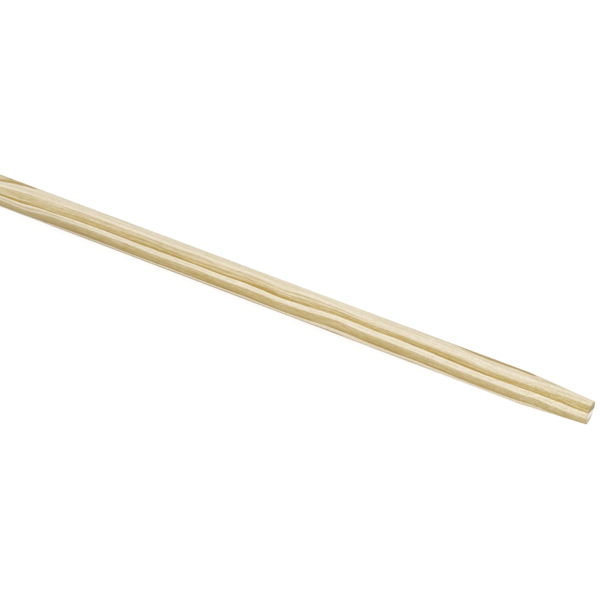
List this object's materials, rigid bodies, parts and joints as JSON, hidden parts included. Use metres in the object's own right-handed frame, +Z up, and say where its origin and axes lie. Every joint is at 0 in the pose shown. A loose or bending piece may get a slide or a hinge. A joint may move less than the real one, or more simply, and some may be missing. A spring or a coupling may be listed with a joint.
{
  "type": "roller extension pole",
  "caption": "Straight round wooden pole with a plain tapered tip that jams in a paint roller's socket, and a rounded butt.",
  "frame": {"origin": "centre of the flat face at the tapered tip", "axes": "+X out of the tip's face, along the pole, which lies level; +Z up"},
  "size_m": [1.2192, 0.0238, 0.0238],
  "materials": {
    "lacquered_pine": "straight-grained pale pine with wide growth rings, thin clear lacquer on the shaft, bare sanded wood on the taper and the tip's face"
  },
  "bodies": {
    "root": {"pole": "lacquered_pine"}
  },
  "joints": []
}
